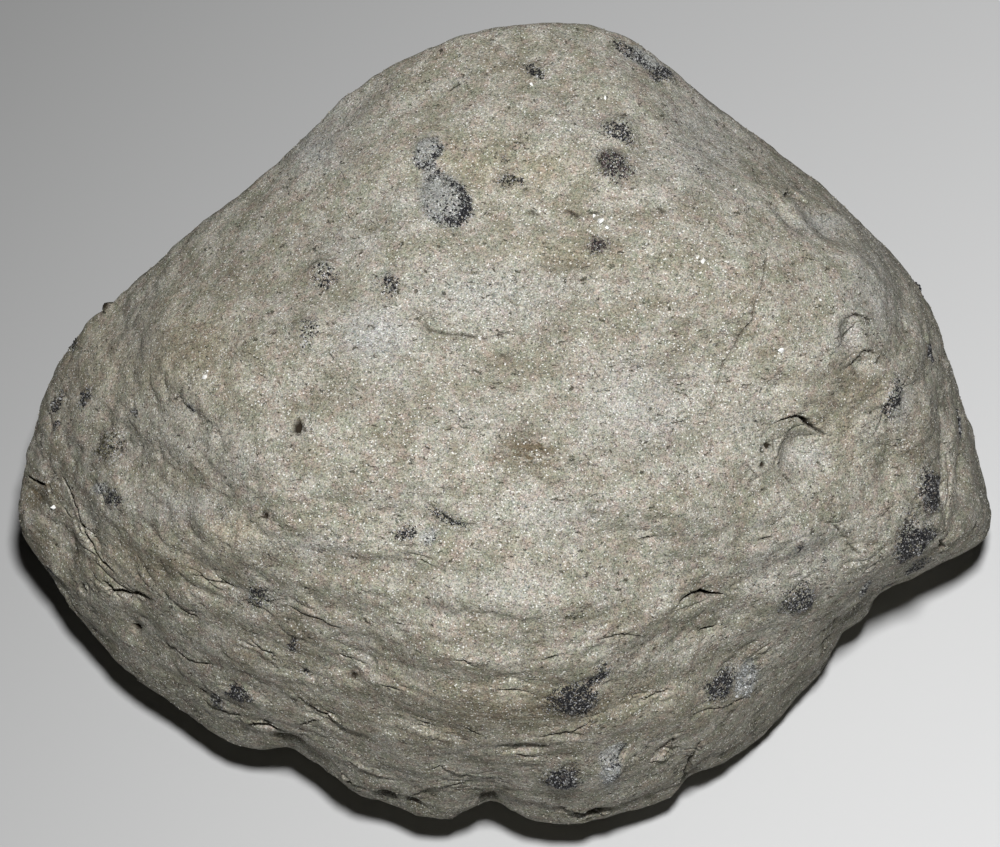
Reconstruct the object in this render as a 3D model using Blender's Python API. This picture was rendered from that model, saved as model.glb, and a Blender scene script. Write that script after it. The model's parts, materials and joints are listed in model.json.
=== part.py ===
"""A pumice stone: one rounded, flattened lump of pale volcanic froth with dark crystals grown into it.

Its outline and its marks are laid out in millimetres right (x) and up (y) on a plane that faces a viewer
who stands in front of the stone and looks down at it steeply, SIGHT_DISTANCE from the plane's middle.
The third value, near, is how far a point stands out from that plane, towards the viewer.
"""

import math
import random

import bmesh
import bpy
import numpy as np
from mathutils import Matrix, Vector, noise
from mathutils.bvhtree import BVHTree

# The viewer, and the height of the plane's middle over the ground, in millimetres
SIGHT_DISTANCE = 500.0
SIGHT_RISE = math.radians(60)
MIDDLE_HEIGHT = 22.0
MM = 0.001

# The lump, in millimetres: how far its middle stands out on the near side and on the far side
NEAR_REACH = 38.5
FAR_REACH = 26.3
FAR_TILT = 7.0
# How far out the rim between both sides lies: degrees anticlockwise from the right, near
RIM = [
    (-165, 0.9), (-150, 3.4), (-120, 9.5), (-90, 12.5), (-62, 8.0), (-43, -5.5), (-24, -0.5), (-6, -8.5),
    (10, -1.0), (35, 9.5), (60, 17.0), (90, 18.0), (120, 15.0), (150, 12.0), (180, 3.0),
]
RIM_BLUR = 8.0
# How the rim's place fades out towards the middle
RIM_FADE = 1.6

# Section of the near side towards the right, top, left and bottom: how boxy it is, and how softly it turns
# down to the rim
NEAR_FULLNESS = (4.0, 1.8, 3.0, 4.2)
NEAR_SHOULDER = (0.38, 0.95, 0.92, 0.92)
FAR_FULLNESS = 2.7
FAR_SHOULDER = 0.68
# The upper rim is worn round: the band either side of it, as a share of the middle's reach, and the passes
WORN_BAND = 0.42
WORN_PASSES = 16

# The small steps of the outline fade out inwards from the rim, from this share of the way
STEPS_START = 0.86
STEPS_BLUR = 9.0
BLUR_SPAN = 24

# Froth relief along the normal, in millimetres: size of a lump across and its height
LUMPS = [(16.0, 1.2), (7.0, 0.6)]
LAYER_NORMAL = Vector((0.05, 0.5, 0.866)).normalized()
LEDGE_LENGTH = 13.0
LEDGE_PITCH = 2.6
LEDGE_ON_TOP = 0.3
LEDGE_ON_FLANK = 0.9

BODY_SPLITS = 6
BODY_TRIANGLES = 5400
SMALLEST_EDGE = 0.02
SEED = 11

# The edge as the viewer sees it, clockwise from the top
OUTLINE = [
    (9.0, 44.5), (11.5, 43.5), (15.5, 42.0), (18.5, 39.8), (21.7, 36.2), (26.1, 33.0), (32.7, 28.1),
    (40.5, 21.5), (44.0, 18.5), (46.5, 16.0), (48.0, 12.0), (49.5, 6.5), (49.5, 4.0), (51.5, 1.0),
    (52.5, -4.0), (54.2, -10.2), (53.7, -12.8), (52.3, -14.2), (48.5, -15.5), (44.5, -17.5),
    (41.5, -18.0), (39.5, -22.0), (37.5, -23.0), (36.0, -27.5), (33.0, -30.5), (29.0, -34.5),
    (24.5, -37.5), (20.5, -39.0), (19.5, -41.0), (14.0, -43.0), (9.0, -44.0), (2.0, -43.4),
    (0.0, -41.3), (-2.0, -41.5), (-5.0, -43.7), (-9.5, -43.3), (-11.5, -42.0), (-15.0, -41.0),
    (-18.5, -38.5), (-22.0, -36.0), (-22.5, -34.8), (-25.5, -36.0), (-29.0, -35.2), (-33.8, -32.9),
    (-38.2, -29.7), (-43.7, -24.8), (-48.0, -20.0), (-51.0, -14.5), (-53.0, -11.5), (-53.0, -9.0),
    (-52.5, -4.0), (-50.0, 2.0), (-49.5, 6.5), (-46.5, 11.0), (-43.5, 13.5), (-40.5, 15.0),
    (-37.5, 18.0), (-31.5, 23.0), (-25.0, 27.8), (-20.7, 32.5), (-17.4, 37.0), (-11.5, 40.0),
    (-3.5, 42.7), (2.0, 44.0),
]

# Broad swellings and hollows of the side that faces the viewer: x, y, half width, half height, near
SWELLS = [
    (6.0, -18.0, 24.0, 8.5, 2.6),
    (0.0, -4.0, 24.0, 9.0, 5.5),
    (-27.0, -9.5, 12.0, 8.5, 3.0),
    (-22.0, 17.0, 9.0, 6.0, -1.5),
    (34.0, -9.0, 9.0, 8.0, -2.0),
    (7.0, 39.0, 8.0, 4.0, 1.1),
]

# Dark crystals of three millimetres and more: x, y, half width, half height
CRYSTALS = [
    (-8.0, 30.1, 1.4, 1.5), (-6.1, 25.0, 2.9, 3.5), (13.2, 32.3, 1.9, 1.7), (12.4, 28.7, 2.1, 1.9),
    (1.3, 26.7, 1.3, 1.0), (18.0, 38.0, 1.2, 1.4), (-20.0, 16.4, 1.9, 2.2), (-12.1, 15.5, 1.2, 1.4),
    (-21.4, 10.3, 1.4, 2.2), (-9.6, -12.5, 1.6, 1.4), (-26.7, -19.1, 1.2, 1.3), (8.4, -30.7, 2.5, 1.9),
    (6.8, -39.5, 1.9, 1.6), (12.3, -37.5, 1.5, 2.9), (33.0, -19.7, 2.2, 1.8), (25.1, -28.4, 3.2, 2.2),
    (47.2, -7.3, 1.4, 2.2), (45.8, -12.9, 1.8, 2.2), (43.0, 2.8, 1.4, 2.1), (-42.6, -2.3, 1.9, 1.6),
]

# Dark crystals on the sides that the viewer doesn't see: turn round the stone from its front and rise over
# its middle, in degrees, half width, half height
MIDDLE_OF_STONE = 24.0
HIDDEN_CRYSTALS = [
    (180, 14, 2.1, 1.6), (150, 4, 1.5, 1.9), (207, -2, 1.8, 1.4), (232, 8, 1.4, 1.7),
    (172, -18, 1.6, 1.3), (128, -12, 1.9, 1.5), (112, 6, 1.4, 1.6), (254, -6, 1.7, 1.4),
    (274, -20, 1.5, 1.8), (88, -16, 1.6, 1.3), (20, -26, 1.4, 1.2), (330, -24, 1.7, 1.3),
]

# Parting cracks along the layers, as x, y points from end to end, with their width and depth
CRACK_END_WIDTH = 0.45
CRACK_END_DEPTH = 0.3
CRACK_OVERLAP = 1.0
CRACKS = [
    ([(31.0, 24.8), (32.4, 25.5), (33.8, 25.2)], 0.9, 2.0),
    ([(29.5, 18.2), (28.8, 14.2), (26.0, 9.0), (23.3, 2.5)], 0.5, 1.2),
    ([(19.8, -20.0), (20.8, -18.8), (22.8, -18.6), (24.6, -18.8)], 1.2, 3.0),
    ([(48.4, 4.4), (48.9, -1.5), (49.0, -8.0), (48.2, -14.2)], 1.4, 3.5),
    ([(44.6, 4.8), (42.8, 2.0), (41.4, -1.2)], 1.0, 2.0),
    ([(35.4, -9.9), (38.5, -13.3), (40.3, -15.4)], 0.8, 2.0),
    ([(22.0, -35.2), (20.8, -37.0), (20.2, -38.8)], 1.0, 2.5),
    ([(27.0, -30.0), (24.8, -31.0), (22.8, -31.5)], 0.7, 1.5),
    ([(-7.5, -38.0), (-4.4, -38.6), (0.0, -39.0)], 1.0, 2.5),
    ([(-43.5, -18.5), (-41.0, -18.6), (-38.4, -19.2)], 1.2, 3.0),
    ([(-33.8, -16.6), (-31.8, -17.2), (-29.4, -18.0)], 0.7, 1.6),
    ([(-36.9, -24.3), (-34.6, -25.4), (-32.2, -26.4)], 0.8, 1.8),
    ([(-23.4, -20.1), (-20.6, -21.2), (-17.8, -22.4)], 0.8, 1.8),
    ([(-22.0, -30.2), (-19.0, -32.0), (-15.6, -33.8)], 1.2, 3.0),
    ([(-28.6, -32.8), (-25.6, -33.2), (-23.0, -34.0)], 1.6, 3.5),
    ([(-47.2, -7.4), (-46.2, -11.0), (-44.4, -14.6)], 1.0, 2.5),
    ([(-52.0, -5.8), (-50.0, -6.6)], 0.9, 2.0),
    ([(-12.8, -28.7), (-10.8, -29.3)], 0.7, 1.4),
]

# Bites where froth has broken away: x, y, half width, half height, depth
BITES = [
    (33.0, -3.2, 3.0, 2.2, 1.6), (38.9, 10.0, 2.2, 1.8, 1.3), (39.8, 6.4, 2.2, 1.2, 1.0),
    (32.0, 22.6, 3.4, 1.5, 1.2), (17.8, -36.6, 1.6, 1.6, 1.2), (10.3, -42.9, 2.2, 0.9, 2.5),
    (-12.5, -41.0, 1.8, 0.9, 2.0), (-16.3, -27.7, 1.3, 1.1, 1.4), (-22.2, -0.4, 1.0, 1.0, 1.2),
    (-25.9, -10.0, 1.1, 1.0, 1.2), (-39.9, -22.4, 1.2, 1.0, 1.3), (-46.0, -18.0, 1.0, 1.0, 1.2),
    (29.7, -3.1, 0.9, 0.9, 1.0), (2.0, -36.0, 4.0, 1.2, 1.2), (-6.0, -34.0, 4.5, 1.1, 1.0),
]
HIDDEN_BITES = 26

# Sizes of the bites on the sides that the viewer doesn't see, in millimetres
HIDDEN_BITE_WIDTH = (1.2, 3.2)
HIDDEN_BITE_HEIGHT = (0.9, 1.6)
HIDDEN_BITE_DEPTH = (1.0, 1.8)
HIDDEN_SPACING = 9.0

# A crystal's rings from its buried end to its flat face: height over the froth, and share of its full width
CRYSTAL_RINGS = [(-2.0, 0.7), (0.15, 1.0), (0.85, 0.62)]
CRYSTAL_TILT = 0.25


def blurred(table, blur):
    """A table of 360 degrees with each value spread over its neighbours."""
    offsets = np.arange(-BLUR_SPAN, BLUR_SPAN + 1)
    weights = np.exp(-((offsets / blur) ** 2))
    weights /= weights.sum()
    return sum(weight * np.roll(table, offset) for weight, offset in zip(weights, offsets))


def around(table, turn):
    return np.interp(turn, np.radians(np.arange(360)), table, period=2 * math.pi)


def outline_tables():
    """Reach from the middle to the edge for each degree: as it is, and without its small steps."""
    known_turns = [math.atan2(y, x) for x, y in OUTLINE]
    known_reach = [math.hypot(x, y) for x, y in OUTLINE]
    stepped = np.interp(np.radians(np.arange(360)), known_turns, known_reach, period=2 * math.pi)
    return stepped, blurred(stepped, STEPS_BLUR)


def rim_table():
    """How far out the rim lies for each degree."""
    degrees, near = zip(*RIM)
    return blurred(np.interp(np.arange(360), degrees, near, period=360), RIM_BLUR)


def by_side(values, right, up):
    """A value between the four given for the right, top, left and bottom."""
    shares = [np.maximum(side, 0) ** 2 for side in (right, up, -right, -up)]
    return sum(value * share for value, share in zip(values, shares))


def body_points(directions):
    """Points of the rounded body for unit directions, as x, y and near."""
    turn = np.arctan2(directions[:, 1], directions[:, 0])
    up = np.sin(turn)
    right = np.cos(turn)
    front = directions[:, 2] > 0
    # The share of the way from the middle to the rim
    share = np.hypot(directions[:, 0], directions[:, 1]) ** 0.9

    stepped, smooth = outline_tables()
    stepped = around(stepped, turn)
    smooth = around(smooth, turn)
    at_rim = np.clip((share - STEPS_START) / (1 - STEPS_START), 0, 1) ** 2
    out = share * (smooth + (stepped - smooth) * at_rim)
    x = out * right
    y = out * up

    fullness = np.where(front, by_side(NEAR_FULLNESS, right, up), FAR_FULLNESS)
    shoulder = np.where(front, by_side(NEAR_SHOULDER, right, up), FAR_SHOULDER)
    bulge = np.clip(1 - share**fullness, 0, 1) ** shoulder
    near = np.where(front, NEAR_REACH, -FAR_REACH - FAR_TILT * up * share) * bulge
    near += around(rim_table(), turn) * share**RIM_FADE

    inside = np.clip(bulge * 1.5, 0, 1) * front
    for swell_x, swell_y, wide, high, rise in SWELLS:
        fade = ((x - swell_x) / wide) ** 2 + ((y - swell_y) / high) ** 2
        near += inside * rise * np.exp(-fade)
    return np.column_stack([x, y, near])


def to_world(points):
    """From x, y and near to the stone standing on the ground, still in millimetres."""
    x, y, near = np.asarray(points, float).T
    narrowing = 1 - near / SIGHT_DISTANCE
    x = x * narrowing
    y = y * narrowing
    rise = math.sin(SIGHT_RISE)
    run = math.cos(SIGHT_RISE)
    return np.column_stack([x, y * rise - near * run, y * run + near * rise + MIDDLE_HEIGHT])


def towards_viewer():
    return Vector((0, -math.cos(SIGHT_RISE), math.sin(SIGHT_RISE)))


def roughen(mesh):
    """Froth lumps and broken layer edges: each point moves a little along its normal."""
    moves = []
    for vertex in mesh.vertices:
        place = vertex.co
        level = place.dot(LAYER_NORMAL)
        along_layer = place - level * LAYER_NORMAL
        ledge = noise.noise(along_layer / LEDGE_LENGTH + level / LEDGE_PITCH * LAYER_NORMAL)
        across_layers = 1 - abs(vertex.normal.dot(LAYER_NORMAL))
        height = ledge * (LEDGE_ON_TOP + LEDGE_ON_FLANK * across_layers)
        for size, rise in LUMPS:
            height += rise * noise.noise(place / size + Vector((size, 0, 0)))
        # The outline keeps its form
        at_rim = 1 - abs(vertex.normal.dot(towards_viewer()))
        moves.append(vertex.normal * height * (1 - 0.75 * at_rim**3))
    for vertex, move in zip(mesh.vertices, moves):
        vertex.co += move


def make_body():
    bm = bmesh.new()
    bmesh.ops.create_icosphere(bm, subdivisions=BODY_SPLITS, radius=1)
    directions = np.array([v.co[:] for v in bm.verts])
    directions /= np.linalg.norm(directions, axis=1)[:, None]
    for vertex, place in zip(bm.verts, to_world(body_points(directions))):
        vertex.co = place
    upper_rim = [v for v, way in zip(bm.verts, directions) if abs(way[2]) < WORN_BAND and way[1] > 0]
    for _ in range(WORN_PASSES):
        bmesh.ops.smooth_vert(
            bm, verts=upper_rim, factor=0.5, use_axis_x=True, use_axis_y=True, use_axis_z=True
        )
    mesh = bpy.data.meshes.new("pumice_stone")
    bm.to_mesh(mesh)
    bm.free()
    roughen(mesh)
    stone = bpy.data.objects.new("pumice_stone", mesh)
    bpy.context.scene.collection.objects.link(stone)
    return stone


def settle(stone):
    """Replaces the stone's mesh by the one that its modifiers give."""
    bpy.context.view_layer.update()
    graph = bpy.context.evaluated_depsgraph_get()
    shaped = bpy.data.meshes.new_from_object(stone.evaluated_get(graph))
    stone.modifiers.clear()
    stone.data = shaped


def simplify(stone, triangles):
    fewer = stone.modifiers.new("fewer faces", "DECIMATE")
    fewer.ratio = triangles / len(stone.data.polygons)
    settle(stone)


def surface_of(stone):
    places = [v.co for v in stone.data.vertices]
    return BVHTree.FromPolygons(places, [p.vertices for p in stone.data.polygons])


def seen_point(surface, x, y):
    """The place and normal of the surface that the viewer sees at x, y."""
    eye = Vector((0, 0, MIDDLE_HEIGHT)) + SIGHT_DISTANCE * towards_viewer()
    aim = Vector(to_world([(x, y, 0)])[0])
    place, normal, _, _ = surface.ray_cast(eye, (aim - eye).normalized())
    return place, normal


def turned_point(surface, middle, turn, rise):
    """The place and normal of the surface that a direction from the stone's middle meets."""
    turn = math.radians(turn)
    rise = math.radians(rise)
    level = math.cos(rise)
    way = Vector((math.sin(turn) * level, -math.cos(turn) * level, math.sin(rise)))
    place, normal, _, _ = surface.ray_cast(middle + SIGHT_DISTANCE * way, -way)
    return place, normal


def hidden_points(surface, count, rng):
    """Places and normals spread over the sides that the viewer doesn't see."""
    middle = Vector((0, 0, MIDDLE_HEIGHT))
    found = []
    while len(found) < count:
        way = Vector([rng.gauss(0, 1) for _ in range(3)]).normalized()
        place, normal, _, _ = surface.ray_cast(middle + SIGHT_DISTANCE * way, -way)
        unseen = normal.dot(towards_viewer()) < -0.1
        clear_of_base = place.z > 4
        apart = all((place - other).length > HIDDEN_SPACING for other, _ in found)
        if unseen and clear_of_base and apart:
            found.append((place, normal))
    return found


def helper(name, bm, group):
    """A shape that is cut from the stone or joined to it."""
    bmesh.ops.triangulate(bm, faces=bm.faces)
    bmesh.ops.recalc_face_normals(bm, faces=bm.faces)
    mesh = bpy.data.meshes.new(name)
    bm.to_mesh(mesh)
    bm.free()
    obj = bpy.data.objects.new(name, mesh)
    obj.hide_render = True
    obj.display_type = "WIRE"
    group.objects.link(obj)
    return obj


def side_axes(normal):
    """The level direction across a surface, and the one up it."""
    across = Vector((0, 0, 1)).cross(normal)
    if across.length < 0.1:
        across = Vector((1, 0, 0))
    across.normalize()
    return across, normal.cross(across)


def crystal(group, place, normal, half_wide, half_high, rng):
    """A stubby six-sided crystal with a bevelled flat end, sunk in the froth to its shoulders."""
    lean = Vector([rng.uniform(-CRYSTAL_TILT, CRYSTAL_TILT) for _ in range(3)])
    tilted = (normal + lean).normalized()
    across, along = side_axes(tilted)
    bm = bmesh.new()
    rings = []
    for lift, share in CRYSTAL_RINGS:
        ring = []
        for corner in range(6):
            turn = math.radians(60 * corner) + rng.uniform(-0.2, 0.2)
            right = across * math.cos(turn) * half_wide * share
            up = along * math.sin(turn) * half_high * share
            ring.append(bm.verts.new(place + right + up + tilted * lift))
        rings.append(ring)
    bm.faces.new(rings[0][::-1])
    bm.faces.new(rings[-1])
    for low, high in zip(rings, rings[1:]):
        for corner in range(6):
            following = (corner + 1) % 6
            bm.faces.new((low[corner], low[following], high[following], high[corner]))
    helper("crystal", bm, group)


def crack(group, surface, path, width, depth):
    """A wedge that follows the path over the surface and runs out at both ends."""
    found = [seen_point(surface, x, y) for x, y in path]
    places = [place for place, _ in found]
    normal = sum((normal for _, normal in found), Vector()).normalized()
    bm = bmesh.new()
    sections = []
    for index, place in enumerate(places):
        before = places[max(index - 1, 0)]
        after = places[min(index + 1, len(places) - 1)]
        side = normal.cross(after - before).normalized()
        at_end = index in (0, len(places) - 1)
        half = width / 2 * (CRACK_END_WIDTH if at_end else 1.0)
        deep = depth * (CRACK_END_DEPTH if at_end else 1.0)
        half_at_top = half * (1 + CRACK_OVERLAP / deep)
        left = bm.verts.new(place + normal * CRACK_OVERLAP - side * half_at_top)
        right = bm.verts.new(place + normal * CRACK_OVERLAP + side * half_at_top)
        bottom = bm.verts.new(place - normal * deep)
        sections.append((left, right, bottom))
    for first, second in zip(sections, sections[1:]):
        for corner in range(3):
            following = (corner + 1) % 3
            bm.faces.new((first[corner], first[following], second[following], second[corner]))
    bm.faces.new(sections[0])
    bm.faces.new(sections[-1])
    helper("crack", bm, group)


def bite(group, place, normal, half_wide, half_high, depth):
    """A lens that takes a shallow scoop out of the surface."""
    across, along = side_axes(normal)
    bm = bmesh.new()
    bmesh.ops.create_icosphere(bm, subdivisions=1, radius=1)
    for vertex in bm.verts:
        x, y, z = vertex.co
        vertex.co = place + across * x * half_wide + along * y * half_high + normal * z * depth
    helper("bite", bm, group)


def cut_or_join(stone, group, operation):
    """Takes every shape of the group from the stone, or adds it, and then drops those shapes."""
    change = stone.modifiers.new("shape", "BOOLEAN")
    change.operation = operation
    change.operand_type = "COLLECTION"
    change.collection = group
    change.solver = "EXACT"
    settle(stone)
    for obj in list(group.objects):
        bpy.data.objects.remove(obj)
    bpy.data.collections.remove(group)


def new_group(name):
    group = bpy.data.collections.new(name)
    bpy.context.scene.collection.children.link(group)
    return group


def wear_flat(stone):
    """The worn patch that the stone rests on, at height 0."""
    bm = bmesh.new()
    bm.from_mesh(stone.data)
    bmesh.ops.bisect_plane(
        bm,
        geom=bm.verts[:] + bm.edges[:] + bm.faces[:],
        dist=SMALLEST_EDGE,
        plane_co=(0, 0, 0),
        plane_no=(0, 0, -1),
        clear_outer=True,
    )
    rim = [edge for edge in bm.edges if edge.is_boundary]
    bmesh.ops.triangle_fill(bm, edges=rim, use_beauty=True)
    bmesh.ops.dissolve_degenerate(bm, dist=SMALLEST_EDGE, edges=bm.edges)
    bmesh.ops.triangulate(bm, faces=bm.faces)
    for vertex in bm.verts:
        if vertex.co.z < 1.5 * SMALLEST_EDGE:
            vertex.co.z = 0
    bmesh.ops.recalc_face_normals(bm, faces=bm.faces)
    bm.to_mesh(stone.data)
    bm.free()


def middle_of_box(stone):
    corners = np.array([v.co[:] for v in stone.data.vertices])
    low = corners.min(axis=0)
    high = corners.max(axis=0)
    return (low[0] + high[0]) / 2, (low[1] + high[1]) / 2


def centre(stone):
    """Puts the middle of the stone's box over the origin and turns millimetres into metres."""
    x, y = middle_of_box(stone)
    stone.data.transform(Matrix.Scale(MM, 4) @ Matrix.Translation((-x, -y, 0)))


def pumice():
    material = bpy.data.materials.new("pumice")
    material.use_nodes = True
    shader = material.node_tree.nodes["Principled BSDF"]
    shader.inputs["Base Color"].default_value = (0.42, 0.39, 0.32, 1)
    shader.inputs["Roughness"].default_value = 0.9
    shader.inputs["Metallic"].default_value = 0
    return material


def cut_hollows(stone, surface, rng):
    hollows = new_group("hollows")
    for path, width, depth in CRACKS:
        crack(hollows, surface, path, width, depth)
    for x, y, half_wide, half_high, depth in BITES:
        place, normal = seen_point(surface, x, y)
        bite(hollows, place, normal, half_wide, half_high, depth)
    for place, normal in hidden_points(surface, HIDDEN_BITES, rng):
        half_wide = rng.uniform(*HIDDEN_BITE_WIDTH)
        half_high = rng.uniform(*HIDDEN_BITE_HEIGHT)
        bite(hollows, place, normal, half_wide, half_high, rng.uniform(*HIDDEN_BITE_DEPTH))
    cut_or_join(stone, hollows, "DIFFERENCE")


def grow_crystals(stone, surface, middle, rng):
    crystals = new_group("crystals")
    for x, y, half_wide, half_high in CRYSTALS:
        place, normal = seen_point(surface, x, y)
        crystal(crystals, place, normal, half_wide, half_high, rng)
    for turn, rise, half_wide, half_high in HIDDEN_CRYSTALS:
        place, normal = turned_point(surface, middle, turn, rise)
        crystal(crystals, place, normal, half_wide, half_high, rng)
    cut_or_join(stone, crystals, "UNION")


def main():
    for obj in list(bpy.data.objects):
        bpy.data.objects.remove(obj)
    rng = random.Random(SEED)
    stone = make_body()
    simplify(stone, BODY_TRIANGLES)
    surface = surface_of(stone)
    middle = Vector((*middle_of_box(stone), MIDDLE_OF_STONE))
    cut_hollows(stone, surface, rng)
    grow_crystals(stone, surface, middle, rng)
    wear_flat(stone)
    centre(stone)
    stone.data.materials.clear()
    stone.data.materials.append(pumice())


main()
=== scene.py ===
import json
import math

import bpy
import numpy as np
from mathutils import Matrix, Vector, noise
from mathutils.bvhtree import BVHTree

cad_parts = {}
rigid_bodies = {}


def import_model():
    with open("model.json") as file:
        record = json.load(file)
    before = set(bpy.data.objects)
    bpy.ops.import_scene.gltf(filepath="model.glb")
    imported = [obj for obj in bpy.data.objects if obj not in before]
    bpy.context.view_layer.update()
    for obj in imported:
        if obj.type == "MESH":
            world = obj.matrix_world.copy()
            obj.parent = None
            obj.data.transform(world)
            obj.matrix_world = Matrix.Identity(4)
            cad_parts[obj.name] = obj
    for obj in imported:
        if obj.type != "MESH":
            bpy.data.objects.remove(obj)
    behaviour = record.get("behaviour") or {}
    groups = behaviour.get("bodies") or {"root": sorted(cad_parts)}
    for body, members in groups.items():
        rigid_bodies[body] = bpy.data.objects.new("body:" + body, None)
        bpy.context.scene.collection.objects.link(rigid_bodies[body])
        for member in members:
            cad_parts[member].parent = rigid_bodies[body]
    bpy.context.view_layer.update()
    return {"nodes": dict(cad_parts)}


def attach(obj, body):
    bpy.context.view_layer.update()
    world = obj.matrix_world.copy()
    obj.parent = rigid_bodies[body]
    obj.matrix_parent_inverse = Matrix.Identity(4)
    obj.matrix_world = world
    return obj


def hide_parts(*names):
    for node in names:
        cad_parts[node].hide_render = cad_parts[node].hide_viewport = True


# Lengths are in millimetres until a piece's mesh is written, and marks are placed in pixels of the
# 1000 by 847 picture: the ray through that pixel is followed down to the stone.
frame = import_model()
stoneNode = frame["nodes"]["pumice_stone"]
for obj in list(bpy.context.scene.objects):
    obj.select_set(False)
print("frame loaded")

sight = {
    "target": Vector((-0.0007, 0.0053, 0.0220)),
    "distance": 0.5,
    "rise": math.radians(60),
    "pictureWide": 1000,
    "pictureHigh": 847,
    "mmPerPixel": 0.11,      # on the plane through the target
    "sensorWide": 36,
}
towardsEye = Vector((0, -math.cos(sight["rise"]), math.sin(sight["rise"])))
eyeUp = Vector((0, math.sin(sight["rise"]), math.cos(sight["rise"])))
layerNormal = Vector((0.05, 0.5, 0.866)).normalized()
stoneMiddle = Vector((0, 0, 24))
outside = 200                # farther from the middle than any point of the stone


# selection, edit mode and modifiers
def pickOnly(obj):
    bpy.ops.object.select_all(action="DESELECT")
    obj.select_set(True)
    bpy.context.view_layer.objects.active = obj


def applied(obj, kind, **settings):
    pickOnly(obj)
    modifier = obj.modifiers.new(kind.lower(), kind)
    for name, value in settings.items():
        setattr(modifier, name, value)
    bpy.ops.object.modifier_apply(modifier=modifier.name)


def editing(obj):
    pickOnly(obj)
    bpy.ops.object.mode_set(mode="EDIT")
    bpy.ops.mesh.select_mode(type="FACE")


def done():
    bpy.ops.object.mode_set(mode="OBJECT")


def selectFaces(obj, chosen):
    mesh = obj.data
    editing(obj)
    bpy.ops.mesh.select_all(action="DESELECT")
    done()
    mesh.polygons.foreach_set("select", np.asarray(chosen, bool))
    bpy.ops.object.mode_set(mode="EDIT")


# points in millimetres, and where the picture shows them
def pointsOf(obj):
    points = np.empty(len(obj.data.vertices) * 3)
    obj.data.vertices.foreach_get("co", points)
    return points.reshape(-1, 3) * 1000


def normalsOf(obj):
    normals = np.empty(len(obj.data.vertices) * 3)
    obj.data.vertices.foreach_get("normal", normals)
    return normals.reshape(-1, 3)


def setPoints(obj, points):
    obj.data.vertices.foreach_set("co", (points / 1000).astype(np.float32).ravel())
    obj.data.update()


def pixelsOf(points):
    off = points - np.array(sight["target"]) * 1000
    near = off @ np.array(towardsEye)
    grow = 1 / (1 - near / (sight["distance"] * 1000)) / sight["mmPerPixel"]
    right = off[:, 0] * grow + sight["pictureWide"] / 2
    down = sight["pictureHigh"] / 2 - (off @ np.array(eyeUp)) * grow
    return np.column_stack([right, down])


def surfaceOf(obj):
    mesh = obj.data
    return BVHTree.FromPolygons([v.co * 1000 for v in mesh.vertices], [p.vertices for p in mesh.polygons])


def seenAt(surface, right, down):
    # the place and normal on the stone behind a pixel
    eye = (sight["target"] + towardsEye * sight["distance"]) * 1000
    aimX = (right - sight["pictureWide"] / 2) * sight["mmPerPixel"]
    aimY = (sight["pictureHigh"] / 2 - down) * sight["mmPerPixel"]
    aim = sight["target"] * 1000 + Vector((aimX, 0, 0)) + eyeUp * aimY
    place, normal, _, _ = surface.ray_cast(eye, (aim - eye).normalized())
    return place, normal


def foundAt(surface, turn, rise):
    # the place and normal on the stone in a direction from its middle, in degrees; turn 0 is the front
    turn, rise = math.radians(turn), math.radians(rise)
    way = Vector((math.sin(turn) * math.cos(rise), -math.cos(turn) * math.cos(rise), math.sin(rise)))
    place, normal, _, _ = surface.ray_cast(stoneMiddle + way * outside, -way)
    return place, normal


def noiseAt(points, size, shift=0.0):
    offset = Vector((shift, shift * 0.7, -shift))
    return np.array([noise.noise(Vector(p) / size + offset) for p in points])


def setAttribute(obj, name, values):
    attribute = obj.data.attributes.new(name, "FLOAT", "POINT")
    attribute.data.foreach_set("value", np.asarray(values, np.float32))


# shader maths
class Wire:
    # one output of a node; sums and products of wires add their Math nodes
    def __init__(self, tree, socket):
        self.tree = tree
        self.socket = socket

    def math(self, operation, first, second, clamp=False):
        node = self.tree.nodes.new("ShaderNodeMath")
        node.operation = operation
        node.use_clamp = clamp
        for socket, value in zip(node.inputs, (first, second)):
            if isinstance(value, Wire):
                self.tree.links.new(value.socket, socket)
            else:
                socket.default_value = value
        return Wire(self.tree, node.outputs[0])

    def __add__(self, other):
        return self.math("ADD", self, other)

    def __radd__(self, other):
        return self.math("ADD", other, self)

    def __sub__(self, other):
        return self.math("SUBTRACT", self, other)

    def __rsub__(self, other):
        return self.math("SUBTRACT", other, self)

    def __mul__(self, other):
        return self.math("MULTIPLY", self, other)

    def __rmul__(self, other):
        return self.math("MULTIPLY", other, self)

    def above(self, other):
        return self.math("GREATER_THAN", self, other)

    def size(self):
        return self.math("ABSOLUTE", self, 0.0)

    def clipped(self):
        return self.math("ADD", self, 0.0, clamp=True)


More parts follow.
